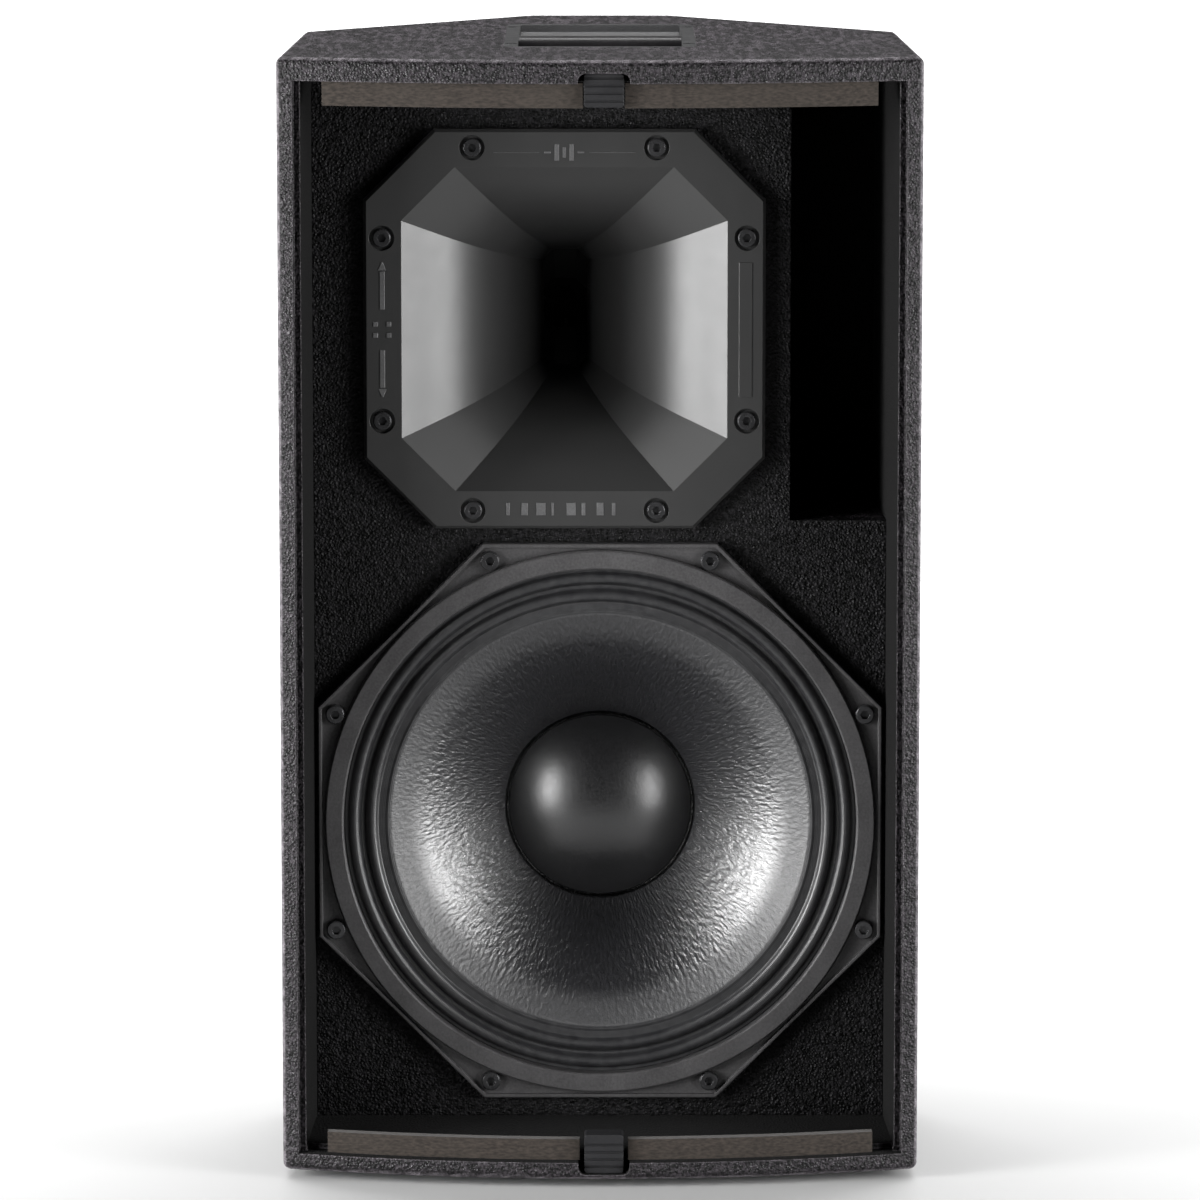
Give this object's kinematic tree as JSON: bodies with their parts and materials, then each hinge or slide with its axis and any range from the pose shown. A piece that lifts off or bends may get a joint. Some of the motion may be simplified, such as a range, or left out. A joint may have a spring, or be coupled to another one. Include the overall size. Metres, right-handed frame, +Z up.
{
  "type": "pa speaker cabinet",
  "caption": "Two-way PA speaker cabinet, grille removed: octagonal-flanged woofer, faceted horn, slot port, recessed carrying handle, pole socket and rear connector panel.",
  "frame": {"origin": "under the middle of the cabinet, on the surface that its four feet stand on", "axes": "+X to the right seen from the front, +Y to the rear (the drivers face -Y), +Z up"},
  "size_m": [0.4096, 0.4, 0.7275],
  "materials": {
    "cabinet_paint": "textured black paint on plywood",
    "wadding": "acoustic wadding",
    "strip_felt": "felted mounting strip",
    "black_rubber": "matt rubber",
    "cast_frame": "black powder-coated casting",
    "surround_cloth": "doped pleated cloth",
    "cone_paper": "fibrous coated pulp",
    "cap_paper": "satin coated pulp",
    "copper_winding": "enamelled copper wire",
    "spider_cloth": "resin-dipped cotton",
    "plated_steel": "zinc-plated steel",
    "ferrite": "sintered ferrite",
    "black_plastic": "moulded",
    "black_steel": "black zinc-plated screws",
    "horn_plastic": "satin moulded",
    "diaphragm_metal": "thin metal foil",
    "handle_grip": "soft-touch grip",
    "panel_steel": "textured black powder coat",
    "socket_plastic": "moulded",
    "board_laminate": "green solder mask",
    "capacitor_film": "wrapped film capacitor",
    "resistor_ceramic": "cement resistor",
    "lead_sheath": "flexible sheath"
  },
  "bodies": {
    "cabinet": {"cabinet_bottom": "cabinet_paint", "cabinet_rear": "cabinet_paint", "cabinet_rear_left": "cabinet_paint", "cabinet_rear_right": "cabinet_paint", "cabinet_side_left": "cabinet_paint", "cabinet_side_right": "cabinet_paint", "cabinet_top": "cabinet_paint", "connector_dish": "panel_steel", "connector_screws": "black_steel", "connector_sockets": "socket_plastic", "crossover_board": "board_laminate", "crossover_capacitors": "capacitor_film", "crossover_coils": "copper_winding", "crossover_pillars": "black_plastic", "crossover_resistors": "resistor_ceramic", "damping_pads": "wadding", "foot_screws": "black_steel", "front_baffle": "cabinet_paint", "grille_catch_bottom": "black_rubber", "grille_catch_top": "black_rubber", "grille_strip_bottom": "strip_felt", "grille_strip_top": "strip_felt", "handle_bar": "handle_grip", "handle_dish": "black_plastic", "handle_screws": "black_steel", "hf_back_cover": "black_plastic", "hf_clamp_ring": "black_plastic", "hf_driver_bolts": "black_steel", "hf_front_plate": "plated_steel", "hf_magnet": "ferrite", "hf_phase_plug": "black_plastic", "hf_surround": "diaphragm_metal", "hf_top_plate": "plated_steel", "horn": "horn_plastic", "horn_gasket": "black_rubber", "horn_lead": "lead_sheath", "horn_screws": "black_steel", "input_lead": "lead_sheath", "pole_socket": "cast_frame", "pole_socket_screws": "black_steel", "port_floor": "cabinet_paint", "port_wall": "cabinet_paint", "rigging_inserts": "plated_steel", "rubber_feet": "black_rubber", "woofer_back_plate": "plated_steel", "woofer_basket": "cast_frame", "woofer_gasket": "black_rubber", "woofer_lead": "lead_sheath", "woofer_magnet": "ferrite", "woofer_screws": "black_steel", "woofer_spider": "spider_cloth", "woofer_surround": "surround_cloth", "woofer_terminals": "black_plastic", "woofer_top_plate": "plated_steel"},
    "woofer_cone_assembly": {"woofer_cone": "cone_paper", "woofer_dust_cap": "cap_paper", "woofer_voice_coil": "copper_winding"},
    "hf_diaphragm_assembly": {"hf_diaphragm": "diaphragm_metal", "hf_voice_coil": "copper_winding"}
  },
  "joints": [
    {"name": "woofer_cone_travel", "type": "slide", "parent": "cabinet", "child": "woofer_cone_assembly", "axis": [0, -1, 0], "range_m": [-0.008, 0.008], "stiffness_N_per_m": 6300, "deforming": ["woofer_surround", "woofer_spider"]},
    {"name": "hf_diaphragm_travel", "type": "slide", "parent": "cabinet", "child": "hf_diaphragm_assembly", "axis": [0, -1, 0], "range_m": [-0.0004, 0.0004], "stiffness_N_per_m": 30000, "deforming": ["hf_surround"]}
  ]
}
